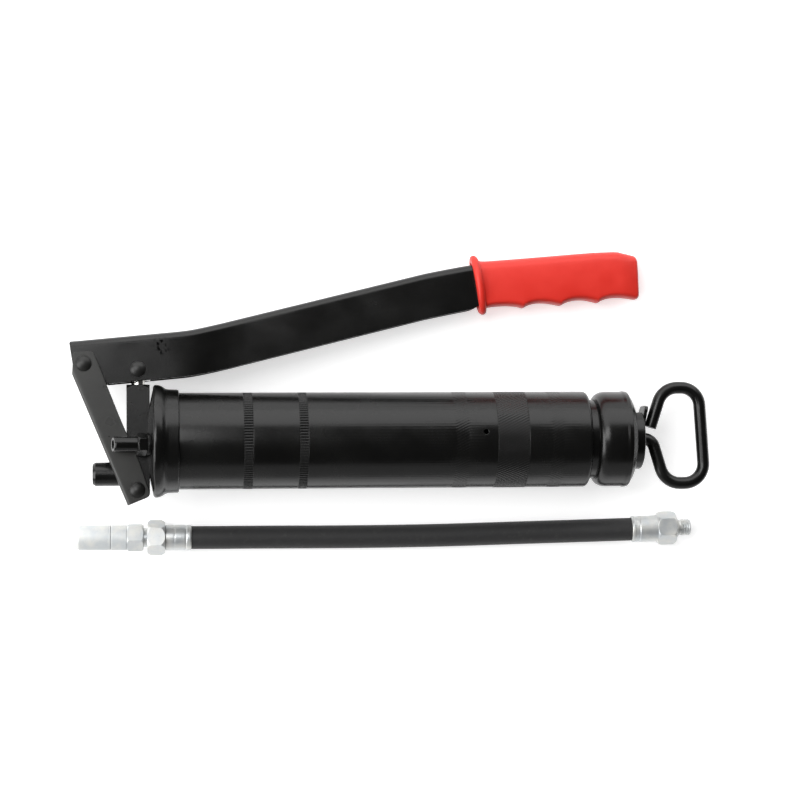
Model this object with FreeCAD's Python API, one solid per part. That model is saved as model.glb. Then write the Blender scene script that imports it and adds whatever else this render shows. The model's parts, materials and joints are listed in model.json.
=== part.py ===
import FreeCAD, Part

import math
import os

from FreeCAD import Placement, Rotation, Vector

# A lever grease gun lying on its side with its rubber delivery hose beside it.
# Gun frame: x runs along the barrel from the pump head to the pull handle, y points
# towards the hand lever, z points out of the gun's flat side. The finished gun is rolled
# and pitched until it rests on its head flange, its rear cap bead and its grip flange.
# All lengths are millimetres.

# ---------------------------------------------------------------- driving dimensions
barrel_r = 28.25
barrel_wall = 1.25
barrel_front_x = -141.4
barrel_rear_x = 110.6
barrel_neck_r = 23.3
barrel_neck_end_x = 127.0
barrel_corner_r = 3.2
vent_hole_r = 1.5
vent_hole_x = 47.3
vent_hole_y = 3.8

flange_x = -142.8
flange_r = 32.85
skirt_r = 30.3
skirt_end_x = -129.9
cap_dome_r = 128.0
cap_apex_x = -148.5
cap_inner_x = -143.6
cap_bore_r = 28.6
gasket_thickness = 1.9

pump_x = -153.4
pump_half_x = 6.7
pump_half_z = 10.0
pump_top_y = 32.7
plunger_r = 4.0
plunger_bottom_y = -12.0
bore_bottom_y = -14.0
inlet_y = 10.0
inlet_r = 3.5
passage_r = 2.25
gland_r = 6.2
gland_y0 = 27.0
gland_y1 = 30.8

outlet_y = -19.0
outlet_r = 6.9
outlet_front_x = -179.8
outlet_chamfer = 1.6
outlet_thread_r = 4.46
outlet_thread_length = 9.0
outlet_bore_r = 3.5
spigot_r = 5.5
spigot_length = 3.0
seat_wall = 1.2
ball_r = 3.2

p0 = Vector(-153.9, -28.4, 0)
p1 = Vector(-184.5, 44.7, 0)
p2 = Vector(-153.4, 41.6, 0)
rivet_r = 3.0
rivet_head_r = 4.6
rivet_head_height = 2.1

lever_half_width = 10.0
lever_arm_half_width = 6.5
lever_wall = 2.5
lever_corner_r = 4.6
lever_front_x = -192.9

link_inner_half = 10.4
link_sheet = 2.2
link_left = -8.6
link_bottom = -6.1
link_web_top = 76.2
link_bend_r = 2.4

pin_slot_side = 1.98
pin_slot_gap = 0.8

grip_flange_x = 46.9
grip_flange_y = 91.5
grip_flange_half_height = 17.6
grip_flange_half_width = 11.5
grip_flange_thickness = 4.4
grip_flange_lean = 9.0

end_cap_front_x = 115.0
end_cap_bead_x = 133.1
end_cap_bead_r = 28.45
end_cap_r = 28.15
end_cap_wall = 1.5
end_cap_corner_r = 4.4
boss_r = 17.9
boss_base_x = 138.4
boss_face_x = 143.5
rod_r = 3.6
rod_neck_r = 2.6
rod_front_x = -121.0
handle_corner = 150.4
lock_lean = 12.0
lock_pivot = Vector(140.8, -5.9, 0)

follower_x = -112.0
cup_r = 26.6
cup_depth = 11.0
follower_spring_r = 17.0
follower_wire_r = 1.5
follower_turns = 9

valve_y = -2.4
valve_z = 21.4
valve_lean = 16.0

press_gap = 0.02
running_gap = 0.05
# Cutting tools reach this far past the material on either side.
through = 60.0

# The hose lies on the floor beside the gun. Both its hexagons stand rolled off their flats.
hexagon_roll = -16.0
hose_r = 6.9
hose_bore_r = 3.2
hose_insertion = 12.1
nipple_r = 3.15
nipple_bore_r = 1.8
stem_collar_r = 4.0
front_flats = 18.2
rear_flats = 17.6
front_ferrule_r = 7.7
rear_ferrule_r = 8.05
ferrule_length = 15.6
coupler_r = 7.5
coupler_flats = 14.7
coupler_mouth_r = 5.0
coupler_mouth_length = 4.0
coupler_nose_x = -69.0
coupler_split_x = -47.7
stud_r = 5.0
stud_length = 6.0

# The hose's centre line in the finished frame: it dips to the floor between its two
# fittings and bends gently sideways.
hose_route = [
    Vector(-130.6, -97.62, 10.22),
    Vector(-108.0, -97.76, 10.16),
    Vector(-78.0, -98.05, 8.2),
    Vector(-30.0, -98.5, 7.0),
    Vector(25.0, -98.05, 7.0),
    Vector(75.0, -96.65, 7.0),
    Vector(112.0, -95.55, 7.75),
    Vector(136.0, -94.45, 9.72),
    Vector(159.1, -93.75, 9.88),
]

X = Vector(1, 0, 0)
Y = Vector(0, 1, 0)
Z = Vector(0, 0, 1)


# ---------------------------------------------------------------- shape helpers
def rod(start, end, radius):
    """A round bar between two points."""
    line = end - start
    return Part.makeCylinder(radius, line.Length, start, line)


def rod_x(x0, x1, radius, y=0.0, z=0.0):
    return rod(Vector(x0, y, z), Vector(x1, y, z), radius)


def tube_x(x0, x1, outer, inner, y=0.0, z=0.0):
    return rod_x(x0, x1, outer, y, z).cut(rod_x(x0 - 1, x1 + 1, inner, y, z))


def block(x0, x1, y0, y1, z0, z1):
    return Part.makeBox(x1 - x0, y1 - y0, z1 - z0, Vector(x0, y0, z0))


def outline(steps, z=0.0):
    """A closed face from points; a step of two points is an arc by its middle and its end."""
    edges = []
    here = Vector(steps[0][0], steps[0][1], z)
    first = here
    for step in steps[1:] + [steps[0]]:
        if isinstance(step[0], tuple):
            middle = Vector(step[0][0], step[0][1], z)
            end = Vector(step[1][0], step[1][1], z)
            edges.append(Part.Arc(here, middle, end).toShape())
        else:
            end = Vector(step[0], step[1], z)
            if (end - here).Length > 1e-6:
                edges.append(Part.makeLine(here, end))
        here = end
    if (here - first).Length > 1e-6:
        edges.append(Part.makeLine(here, first))
    return Part.Face(Part.Wire(edges))


def slab(steps, z0, z1):
    return outline(steps, z0).extrude(Vector(0, 0, z1 - z0))


def turned(steps):
    """A solid turned about the gun's x axis from a profile of (x, radius) steps."""
    return outline(steps).revolve(Vector(0, 0, 0), X, 360)


def laid(shape, point, rotation):
    """The shape turned about the origin, then moved to a point."""
    moved = shape.copy()
    moved.Placement = Placement(point, rotation).multiply(shape.Placement)
    return moved


def hexagon_x(x0, x1, flats, chamfer=0.0, roll=0.0):
    """A hexagon bar along x, rolled off its flat, its corners turned off at both ends."""
    corner = flats / math.sqrt(3)
    points = []
    for i in range(7):
        angle = math.radians(60 * i + roll)
        points.append(Vector(x0, corner * math.cos(angle), corner * math.sin(angle)))
    bar = Part.Face(Part.makePolygon(points)).extrude(Vector(x1 - x0, 0, 0))
    if chamfer:
        inner = flats / 2 + chamfer * 0.2
        turned_ends = turned([
            (x0, 0),
            (x0, inner),
            (x0 + chamfer, corner),
            (x1 - chamfer, corner),
            (x1, inner),
            (x1, 0),
        ])
        bar = bar.common(turned_ends)
    return bar


def domed_pin(centre, radius, half_length, head_r, head_height):
    """A rivet along z with a domed head at each end."""
    sphere_r = (head_r ** 2 + head_height ** 2) / (2 * head_height)
    pin = rod(centre - Z * half_length, centre + Z * half_length, radius)
    for side in (1, -1):
        ball_centre = centre + Z * side * (half_length + head_height - sphere_r)
        ball = Part.makeSphere(sphere_r, ball_centre)
        face = centre + Z * side * half_length
        keep = rod(face, face + Z * side * sphere_r, head_r)
        pin = pin.fuse(ball.common(keep))
    return pin.removeSplitter()


def rounded_route(points, radii):
    """Straight runs joined by tangent arcs, with the length of the whole path."""
    edges = []
    here = points[0]
    for before, corner, after, radius in zip(points, points[1:], points[2:], radii):
        into = (corner - before).normalize()
        out = (after - corner).normalize()
        half_turn = into.getAngle(out) / 2
        setback = radius * math.tan(half_turn)
        start = corner - into * setback
        end = corner + out * setback
        inward = (out - into).normalize()
        middle = corner + inward * (radius / math.cos(half_turn) - radius)
        edges.append(Part.makeLine(here, start))
        edges.append(Part.Arc(start, middle, end).toShape())
        here = end
    edges.append(Part.makeLine(here, points[-1]))
    return Part.Wire(edges)


def swept(path, radius):
    """A round bar along a path that is built from runs and arcs."""
    start = path.Edges[0].firstVertex().Point
    direction = path.Edges[0].tangentAt(path.Edges[0].FirstParameter)
    section = Part.Wire(Part.makeCircle(radius, start, direction))
    return path.makePipeShell([section], True, True)


def spring_x(x0, x1, mean_r, wire_r, turns, y=0.0, z=0.0):
    """A coil spring along x that fills the space between its two seats."""
    pitch = (x1 - x0 - 2 * wire_r) / turns
    helix = Part.makeHelix(pitch, pitch * turns, mean_r)
    along = Vector(0, math.tau * mean_r, pitch).normalize()
    section = Part.Wire(Part.makeCircle(wire_r, Vector(mean_r, 0, 0), along))
    coil = Part.Wire(helix).makePipeShell([section], True, True)
    coil.Placement = Placement(Vector(x0 + wire_r, y, z), Rotation(Z, X))
    return coil


# ---------------------------------------------------------------- pump head
def pump_body():
    left = pump_x - pump_half_x
    right = pump_x + pump_half_x
    lug = 5.2
    diagonal = lug * math.sqrt(0.5)
    side = [
        (left, pump_top_y),
        (right, pump_top_y),
        (right, p0.y - 2.4),
        (right - 3.2, p0.y - lug),
        (p0.x, p0.y - lug),
        ((p0.x - diagonal, p0.y - diagonal), (p0.x - lug, p0.y)),
        (left, outlet_y + 1.0),
    ]
    body = slab(side, -pump_half_z, pump_half_z)
    chamfer = 2.6
    turned_top = Part.makeCone(12.1, 9.6, chamfer, Vector(pump_x, pump_top_y - chamfer, 0), Y)
    below = rod(Vector(pump_x, p0.y - 10, 0), Vector(pump_x, pump_top_y - chamfer, 0), 12.6)
    body = body.common(turned_top.fuse(below))
    top = Vector(pump_x, pump_top_y + 1, 0)
    body = body.cut(rod(Vector(pump_x, bore_bottom_y, 0), top, plunger_r + running_gap))
    body = body.cut(rod(Vector(pump_x, gland_y0, 0), Vector(pump_x, gland_y1, 0), gland_r))
    body = body.cut(rod(Vector(pump_x, outlet_y, 0), Vector(pump_x, bore_bottom_y + 1, 0), passage_r))
    body = body.cut(rod_x(left - 1, pump_x, passage_r, outlet_y))
    body = body.cut(rod_x(left - 1, left + spigot_length, spigot_r + press_gap, outlet_y))
    body = body.cut(rod_x(pump_x, right + 1, inlet_r, inlet_y))
    return body.cut(rod(p0 - Z * through, p0 + Z * through, rivet_r + running_gap))


def plunger_seal():
    base = Vector(pump_x, gland_y0 + 0.2, 0)
    ring = Part.makeCylinder(gland_r - 0.1, gland_y1 - gland_y0 - 0.4, base, Y)
    return ring.cut(Part.makeCylinder(plunger_r + running_gap, 20, base - Y * 5, Y))


def outlet_fitting():
    left = pump_x - pump_half_x
    seat_x = left + spigot_length - seat_wall
    body = turned([
        (outlet_front_x, outlet_thread_r + 0.8),
        (outlet_front_x, outlet_r - outlet_chamfer * 0.7),
        (outlet_front_x + outlet_chamfer, outlet_r),
        (left, outlet_r),
        (left, spigot_r),
        (left + spigot_length - press_gap, spigot_r),
        (left + spigot_length - press_gap, passage_r),
        (seat_x, passage_r),
        (seat_x, outlet_bore_r),
        (outlet_front_x + outlet_thread_length, outlet_bore_r),
        (outlet_front_x + outlet_thread_length, outlet_thread_r),
        (outlet_front_x + 0.8, outlet_thread_r),
    ])
    body.translate(Vector(0, outlet_y, 0))
    return body


def ball_centre_x():
    seat_x = pump_x - pump_half_x + spigot_length - seat_wall
    return seat_x - math.sqrt(ball_r ** 2 - passage_r ** 2) - running_gap


def check_ball():
    return Part.makeSphere(ball_r, Vector(ball_centre_x(), outlet_y, 0))


def retainer_x():
    return outlet_front_x + outlet_thread_length + 0.1


def check_retainer():
    return tube_x(retainer_x(), retainer_x() + 1.2, outlet_bore_r - press_gap, 1.6, outlet_y)


def check_spring():
    start = retainer_x() + 1.25
    return spring_x(start, ball_centre_x() - 2.3, 2.4, 0.4, 3, outlet_y)


def head_cap():
    """The pressed head cap: a shallow dome, a rolled bead and a threaded skirt."""
    rim_r = 30.6
    rim_x = cap_apex_x + cap_dome_r - math.sqrt(cap_dome_r ** 2 - rim_r ** 2)
    mid_r = rim_r / 2
    mid_x = cap_apex_x + cap_dome_r - math.sqrt(cap_dome_r ** 2 - mid_r ** 2)
    cap = turned([
        (cap_apex_x, 0),
        ((mid_x, mid_r), (rim_x, rim_r)),
        ((flange_x - 1.6, flange_r - 0.55), (flange_x, flange_r)),
        ((flange_x + 2.4, flange_r - 0.5), (flange_x + 4.6, flange_r - 1.8)),
        ((flange_x + 5.6, skirt_r + 0.25), (flange_x + 7.0, skirt_r)),
        (skirt_end_x - 0.9, skirt_r - 0.2),
        ((skirt_end_x - 0.2, skirt_r - 0.5), (skirt_end_x, skirt_r - 1.1)),
        (skirt_end_x, cap_bore_r),
        (cap_inner_x, cap_bore_r),
        (cap_inner_x, 0),
    ])
    pump_back = pump_x + pump_half_x
    cap = cap.cut(block(pump_x, pump_back, -through, through, -pump_half_z, pump_half_z))
    cap = cap.cut(rod_x(cap_apex_x - 5, cap_inner_x + 1, inlet_r, inlet_y))
    bore = valve_placed(rod_x(-12, 12, 3.1 + press_gap))
    return cap.cut(bore).cut(valve_placed(rod_x(-9, 0.0, 7.2)))


def head_gasket():
    return tube_x(cap_inner_x + 0.05, cap_inner_x + gasket_thickness, cap_bore_r - 0.2, 24.5)


# The filler valve stands on the dome beside the pump body and leans out from it. It is
# built along x with its seat at x = 0 and its free end at negative x.
def valve_placed(shape):
    base = Vector(cap_apex_x + 1.0, valve_y, valve_z)
    return laid(shape, base, Rotation(Y, valve_lean))


def valve_washer():
    return valve_placed(tube_x(-1.6, 0.0, 6.6, 3.1 + press_gap))


def valve_body():
    body = hexagon_x(-7.2, -1.6, 11.7, 0.9)
    tube = turned([
        (-21.0, 2.6),
        (-21.0, 3.9),
        (-20.2, 4.5),
        (-7.2, 4.5),
        (-7.2, 3.1),
        (7.0, 3.1),
        (7.0, 0),
        (-13.0, 0),
        (-13.0, 2.6),
    ])
    body = body.cut(rod_x(-30, 30, 3.0)).fuse(tube)
    body = body.cut(rod_x(-14, 8, 1.3))
    return valve_placed(body.removeSplitter())


def valve_pin():
    return valve_placed(turned([
        (-19.4, 0),
        (-19.4, 1.6),
        (-18.8, 2.1),
        (-16.4, 2.1),
        (-16.4, 1.2),
        (-6.0, 1.2),
        (-6.0, 0),
    ]))


def valve_spring():
    return valve_placed(spring_x(-16.2, -13.05, 1.85, 0.3, 3))


# ---------------------------------------------------------------- linkage
def plunger():
    shaft = rod(Vector(pump_x, plunger_bottom_y, 0), Vector(pump_x, p2.y, 0), plunger_r)
    half = 7.0
    eye = slab([
        (p2.x - half, p2.y - 6.2),
        (p2.x + half, p2.y - 6.2),
        (p2.x + half, p2.y),
        ((p2.x, p2.y + half), (p2.x - half, p2.y)),
    ], -7.2, 7.2)
    body = shaft.fuse(eye).removeSplitter()
    radius = rivet_r + pin_slot_gap
    slot = slab([
        (p2.x - pin_slot_side, p2.y - radius),
        (p2.x + pin_slot_side, p2.y - radius),
        ((p2.x + pin_slot_side + radius, p2.y), (p2.x + pin_slot_side, p2.y + radius)),
        (p2.x - pin_slot_side, p2.y + radius),
        ((p2.x - pin_slot_side - radius, p2.y), (p2.x - pin_slot_side, p2.y - radius)),
    ], -through, through)
    return body.cut(slot)


def plunger_pin():
    return domed_pin(p2, rivet_r, lever_half_width, rivet_head_r, rivet_head_height)


def link_lean():
    return math.degrees(math.atan2(p0.x - p1.x, p1.y - p0.y))


def link_length():
    return (p1 - p0).Length


def link_channel():
    """A bent-sheet channel: two cheeks and a web with a window for the outlet."""
    outer = link_inner_half + link_sheet
    cheek = [
        (link_left, link_bottom),
        (3.6, link_bottom),
        ((5.3, link_bottom + 0.9), (5.9, link_bottom + 2.6)),
        (7.1, 14.0),
        (7.0, 44.0),
        (7.7, 78.0),
        (7.5, 82.4),
        ((6.9, 83.8), (5.8, 84.4)),
        (-1.6, 87.2),
        ((-2.9, 87.3), (-3.7, 86.3)),
        (-5.8, 82.0),
        (link_left, link_web_top),
    ]
    body = slab(cheek, -outer, outer)
    bends = [e for e in body.Edges if abs(e.Length - (link_web_top - link_bottom)) < 0.01]
    bends = [e for e in bends if abs(e.CenterOfMass.x - link_left) < 0.01]
    body = body.makeFillet(link_bend_r, bends)
    inside = link_left + link_sheet
    body = body.cut(block(inside, 20, -20, 100, -link_inner_half, link_inner_half))
    body = body.cut(block(-20, 20, link_web_top, 100, -link_inner_half, link_inner_half))
    body = body.cut(block(-20, inside + 1, 1.5, 26.5, -7.8, 7.8))
    for y in (0.0, link_length()):
        body = body.cut(rod(Vector(0, y, -30), Vector(0, y, 30), rivet_r + press_gap))
    body.Placement = Placement(p0, Rotation(Z, link_lean()))
    return body


def link_top_rivet():
    return domed_pin(p1, rivet_r, link_inner_half + link_sheet, rivet_head_r, rivet_head_height)


def link_bottom_rivet():
    return domed_pin(p0, rivet_r, link_inner_half + link_sheet, rivet_head_r, rivet_head_height)


# Stations of the lever and of its tang inside the grip: x, top edge y, bottom edge y,
# half width. The channel narrows behind the link.
lever_stations = [
    (lever_front_x, 57.9, 31.0, lever_half_width),
    (-130.0, 63.7, 36.9, lever_half_width),
    (-124.0, 64.4, 37.5, 9.75),
    (-118.0, 65.6, 38.5, 9.2),
    (-112.0, 67.0, 39.7, 8.4),
    (-106.0, 68.4, 41.0, 7.6),
    (-100.0, 69.9, 42.4, 7.0),
    (-92.0, 71.9, 44.4, 6.6),
    (16.0, 98.4, 71.3, lever_arm_half_width),
]
tang_stations = [
    (30.0, 101.1, 74.2, lever_arm_half_width),
    (43.0, 103.5, 76.7, lever_arm_half_width),
    (55.0, 103.8, 80.6, 6.2),
    (136.0, 108.2, 87.0, 6.2),
]


def lid_edges(x, top, bottom, half, corner):
    """Up one side, over the rounded lid and down the other side of the lever's section."""
    k = math.sqrt(0.5)
    across = half - corner
    up = top - corner

    def at(side, height):
        return Vector(x, height, side)

    near = at(across + corner * k, up + corner * k)
    far = at(-across - corner * k, up + corner * k)
    return [
        Part.makeLine(at(half, bottom), at(half, up)),
        Part.Arc(at(half, up), near, at(across, top)).toShape(),
        Part.makeLine(at(across, top), at(-across, top)),
        Part.Arc(at(-across, top), far, at(-half, up)).toShape(),
        Part.makeLine(at(-half, up), at(-half, bottom)),
    ]


def channel_section(x, top, bottom, half):
    """The lever's inverted U section at one station."""
    inner = half - lever_wall
    outside = lid_edges(x, top, bottom, half, lever_corner_r)
    inside = lid_edges(x, top - lever_wall, bottom, inner, lever_corner_r - lever_wall)
    left_foot = Part.makeLine(Vector(x, bottom, -half), Vector(x, bottom, -inner))
    right_foot = Part.makeLine(Vector(x, bottom, inner), Vector(x, bottom, half))
    return Part.Wire(outside + [left_foot] + inside[::-1] + [right_foot])


def envelope_section(x, top, bottom, half):
    """The lever's outer section, filled in."""
    foot = Part.makeLine(Vector(x, bottom, -half), Vector(x, bottom, half))
    return Part.Wire(lid_edges(x, top, bottom, half, lever_corner_r) + [foot])


def lever_arm():
    sections = [channel_section(*station) for station in lever_stations + tang_stations]
    arm = Part.makeLoft(sections, True, True)
    nose = 6.6
    nose_cut = slab([
        (lever_front_x - 5, 70),
        (lever_front_x + 1.6, 70),
        (lever_front_x + 1.6, 58.6),
        ((lever_front_x + 0.5, 58.1), (lever_front_x, 56.8)),
        (p1.x - nose, p1.y + 0.6),
        ((p1.x - nose * 0.78, p1.y - nose * 0.63), (p1.x - nose * 0.2, p1.y - nose * 0.98)),
        (p1.x + 5, p1.y - 8.4),
        (p1.x + 14, p1.y - 11.6),
        (p1.x + 14, 20),
        (lever_front_x - 5, 20),
    ], -through, through)
    arm = arm.cut(nose_cut)
    arm = arm.cut(rod(p1 - Z * through, p1 + Z * through, rivet_r + running_gap))
    return arm.cut(rod(p2 - Z * through, p2 + Z * through, rivet_r + press_gap))


# Grip stations: x, top y, bottom y, half width. The last ones round off the end.
grip_stations = [
    (47.0, 105.6, 78.2, 8.0),
    (80.0, 108.6, 79.9, 8.2),
    (110.0, 110.9, 82.0, 8.1),
    (131.0, 111.6, 83.6, 7.9),
    (138.5, 110.2, 83.6, 7.4),
    (141.4, 108.0, 85.4, 6.2),
    (142.5, 104.5, 88.5, 4.2),
]


def capsule_section(x, top, bottom, half):
    """A closed section with half-round top and bottom."""
    edges = []
    ends = [(1, top - half), (-1, bottom + half)]
    for side, centre in ends:
        start = Vector(x, centre, side * half)
        middle = Vector(x, centre + side * half, 0)
        end = Vector(x, centre, -side * half)
        edges.append(Part.Arc(start, middle, end).toShape())
        other = bottom + half if side == 1 else top - half
        edges.append(Part.makeLine(end, Vector(x, other, -side * half)))
    return Part.Wire(edges)


def grip():
    sections = [capsule_section(*station) for station in grip_stations]
    body = Part.makeLoft(sections, True, True)
    centre = Vector(grip_flange_x, grip_flange_y, 0)
    rim = Part.Ellipse(Vector(0, 0, 0), grip_flange_half_height, grip_flange_half_width)
    disc = Part.Face(Part.Wire(rim.toShape())).extrude(Z * grip_flange_thickness)
    disc.translate(Z * (-grip_flange_thickness / 2))
    disc.Placement = Placement(Vector(0, 0, 0), Rotation(Y, 90)).multiply(disc.Placement)
    disc.rotate(Vector(0, 0, 0), X, 90)
    disc.rotate(Vector(0, 0, 0), Z, grip_flange_lean)
    disc.translate(centre)
    body = body.fuse(disc).removeSplitter()
    room = 0.12
    cavity = []
    for x, top, bottom, half in tang_stations:
        cavity.append(envelope_section(x, top + room, bottom - room, half + room))
    return body.cut(Part.makeLoft(cavity, True, True))


# ---------------------------------------------------------------- barrel and rear end
def barrel_tube():
    inner = barrel_r - barrel_wall
    c = barrel_corner_r
    shoulder = barrel_rear_x - c
    k = math.sqrt(0.5)
    ci = c - barrel_wall
    tube = turned([
        (barrel_front_x, inner),
        (barrel_front_x, barrel_r),
        (shoulder, barrel_r),
        ((shoulder + c * k, barrel_r - c + c * k), (barrel_rear_x, barrel_r - c)),
        (barrel_rear_x, barrel_neck_r),
        (barrel_neck_end_x, barrel_neck_r),
        (barrel_neck_end_x, barrel_neck_r - barrel_wall),
        (barrel_rear_x - barrel_wall, barrel_neck_r - barrel_wall),
        (barrel_rear_x - barrel_wall, barrel_r - c),
        ((shoulder + ci * k, barrel_r - c + ci * k), (shoulder, inner)),
    ])
    inside = Vector(vent_hole_x, vent_hole_y, 0)
    return tube.cut(rod(inside, inside + Z * through, vent_hole_r))


def end_cap():
    """The rear cap, pressed over the barrel's neck."""
    r = end_cap_r
    w = end_cap_wall
    lip = barrel_neck_r + press_gap
    c = end_cap_corner_r
    k = 1 - math.sqrt(0.5)
    bead_x = end_cap_bead_x
    dome_mid = (bead_x + 3.8, 23.6)
    return turned([
        (end_cap_front_x, lip),
        (end_cap_front_x, r - c),
        ((end_cap_front_x + c * k, r - c * k), (end_cap_front_x + c, r)),
        (bead_x - 2.0, r),
        ((bead_x, end_cap_bead_r), (bead_x + 1.4, r - 0.7)),
        (dome_mid, (boss_base_x + 0.3, boss_r + 0.6)),
        (boss_base_x + 0.3, 6.0),
        (boss_base_x - w, 6.0),
        (boss_base_x - w, boss_r),
        ((dome_mid[0] - w, dome_mid[1] - 0.6), (bead_x, r - 2.4)),
        (end_cap_front_x + w, r - w - 2.6),
        (end_cap_front_x + w, lip),
    ])


def rod_guide():
    """The boss on the rear cap, with a pocket that holds the rod's lock plate."""
    body = turned([
        (boss_base_x + 0.35, 0),
        (boss_base_x + 0.35, boss_r - 0.1),
        (boss_face_x - 1.2, boss_r),
        ((boss_face_x - 0.4, boss_r - 0.4), (boss_face_x, boss_r - 1.2)),
        (boss_face_x, 0),
    ])
    spigot = rod_x(boss_base_x - 8, boss_base_x + 1, 6.0 - press_gap)
    body = body.fuse(spigot)
    body = body.cut(block(boss_base_x + 1.0, boss_face_x + 1, -7.0, 30, -9.0, 9.0))
    return body.cut(rod_x(boss_face_x - through, boss_face_x + through, rod_r + running_gap))


def lock_plate():
    """The spring-loaded plate that grips the rod when it leans."""
    tall = 25.8
    half_thick = 1.0
    plate = block(-half_thick, half_thick, 0, tall, -8.2, 8.2)
    corners = [e for e in plate.Edges if abs(e.CenterOfMass.y - tall) < 0.01]
    corners = [e for e in corners if abs(e.Length - 2 * half_thick) < 0.01]
    plate = plate.makeFillet(3.0, corners)
    hole_y = -lock_pivot.y / math.cos(math.radians(lock_lean))
    plate = plate.cut(rod(Vector(-5, hole_y, 0), Vector(5, hole_y, 0), rod_r + 0.45))
    plate.Placement = Placement(lock_pivot, Rotation(Z, -lock_lean))
    return plate


def lock_spring():
    return spring_x(boss_base_x + 1.05, boss_base_x + 3.1, 2.6, 0.4, 2.5, 12.0)


# The rod's path: straight along the barrel, then once round the D-shaped handle.
handle_corners = [
    Vector(rod_front_x, 0, 0),
    Vector(handle_corner, 0, 0),
    Vector(158.2, -26.4, 0),
    Vector(182.2, -26.4, 0),
    Vector(179.0, 30.4, 0),
    Vector(157.4, 30.4, 0),
    Vector(149.6, 6.7, 0),
]
handle_radii = [6.5, 12.0, 11.5, 11.0, 12.0]


def pull_rod():
    bar = swept(rounded_route(handle_corners, handle_radii), rod_r)
    return bar.cut(tube_x(rod_front_x - 1, follower_x - 2.45, 10, rod_neck_r))


def rod_nut():
    nut = hexagon_x(rod_front_x + 0.4, rod_front_x + 5.0, 9.0)
    return nut.cut(rod_x(rod_front_x - through, rod_front_x + through, rod_neck_r + press_gap))


def follower_cup():
    """The rubber cup that pushes the grease forward."""
    x = follower_x
    return turned([
        (x, rod_r + running_gap),
        (x, 16.0),
        ((x - 1.5, 20.0), (x - 3.0, cup_r - 2.0)),
        (x - 3.0, cup_r),
        (x + 3.0, cup_r),
        (x + cup_depth, cup_r - 0.6),
        (x + cup_depth, cup_r - 2.4),
        (x + 3.0, cup_r - 3.2),
        (x + 3.0, rod_r + running_gap),
    ])


def follower_washer():
    return tube_x(follower_x - 2.2, follower_x - 0.05, 14.0, rod_r + running_gap)


def follower_plate():
    x = follower_x + 3.05
    return turned([
        (x, rod_r + running_gap),
        (x, 22.0),
        (x + 4.0, 22.0),
        (x + 4.0, 20.6),
        (x + 1.5, 20.6),
        (x + 1.5, rod_r + running_gap),
    ])


def rod_collar():
    """The snap collar behind the follower that lets the rod pull it back."""
    return tube_x(follower_x + 4.85, follower_x + 7.0, 6.0, rod_r + press_gap)


def follower_spring():
    start = follower_x + 4.6
    end = boss_base_x - end_cap_wall - 0.1
    return spring_x(start, end, follower_spring_r, follower_wire_r, follower_turns)


# ---------------------------------------------------------------- delivery hose
def hose_radii():
    radii = []
    for before, corner, after in zip(hose_route, hose_route[1:], hose_route[2:]):
        half_turn = (corner - before).getAngle(after - corner) / 2
        shorter = min((corner - before).Length, (after - corner).Length)
        radii.append(0.45 * shorter / math.tan(half_turn))
    return radii


def hose_rubber():
    path = rounded_route(hose_route, hose_radii())
    return swept(path, hose_r).cut(swept(path, hose_bore_r))


# Fittings are built along x with the hose-side face of their ferrule at x = 0, then laid
# on the hose's end run. The front ones reach towards negative x, the rear ones away.
def front_run():
    return (hose_route[1] - hose_route[0]).normalize()


def rear_run():
    return (hose_route[-1] - hose_route[-2]).normalize()


def at_front(shape):
    return laid(shape, hose_route[0] + front_run() * hose_insertion, Rotation(X, front_run()))


def at_rear(shape):
    return laid(shape, hose_route[-1] - rear_run() * hose_insertion, Rotation(X, rear_run()))


def ferrule(direction, radius):
    """A crimped sleeve over the hose end, closed on the stem's collar."""
    inner = hose_r + press_gap
    collar = stem_collar_r + press_gap
    steps = [
        (0, inner),
        (0, radius - 0.7),
        (0.7, radius),
        (ferrule_length - 0.5, radius),
        (ferrule_length, radius - 0.5),
        (ferrule_length, collar),
        (ferrule_length - 1.6, collar),
        (ferrule_length - 1.6, inner),
    ]
    return turned([(x * direction, r) for x, r in steps])


def hose_ferrule_front():
    return at_front(ferrule(-1, front_ferrule_r))


def hose_ferrule_rear():
    return at_rear(ferrule(1, rear_ferrule_r))


def nipple(direction):
    """The barbed stem inside the hose end."""
    steps = [(0.6, 0), (0.6, nipple_r - 0.5)]
    for x in (1.6, 5.0, 8.4):
        steps += [(x, nipple_r - 0.5), (x + 2.4, nipple_r)]
    steps += [(10.8, nipple_r - 0.3), (13.2, nipple_r - 0.3), (13.2, stem_collar_r)]
    steps += [(ferrule_length, stem_collar_r), (ferrule_length, 0)]
    return turned([(x * direction, r) for x, r in steps])


def hose_stem_front():
    hexagon = hexagon_x(-26.1, -ferrule_length, front_flats, 1.6, hexagon_roll)
    neck = rod_x(-28.4, -26.1, 5.6)
    stud = rod_x(-35.0, -28.4, 4.6)
    body = hexagon.fuse(neck).fuse(stud).fuse(nipple(-1)).removeSplitter()
    return at_front(body.cut(rod_x(-through, through, nipple_bore_r)))


def hose_stem_rear():
    hexagon = hexagon_x(ferrule_length, 27.2, rear_flats, 1.2, hexagon_roll)
    cone = turned([(27.2, 0), (27.2, 7.4), (29.2, 4.4), (30.0, 4.4), (30.0, 0)])
    stud = rod_x(30.0, 30.0 + stud_length, stud_r)
    body = hexagon.fuse(cone).fuse(stud).fuse(nipple(1)).removeSplitter()
    return at_rear(body.cut(rod_x(-through, through, nipple_bore_r)))


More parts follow.
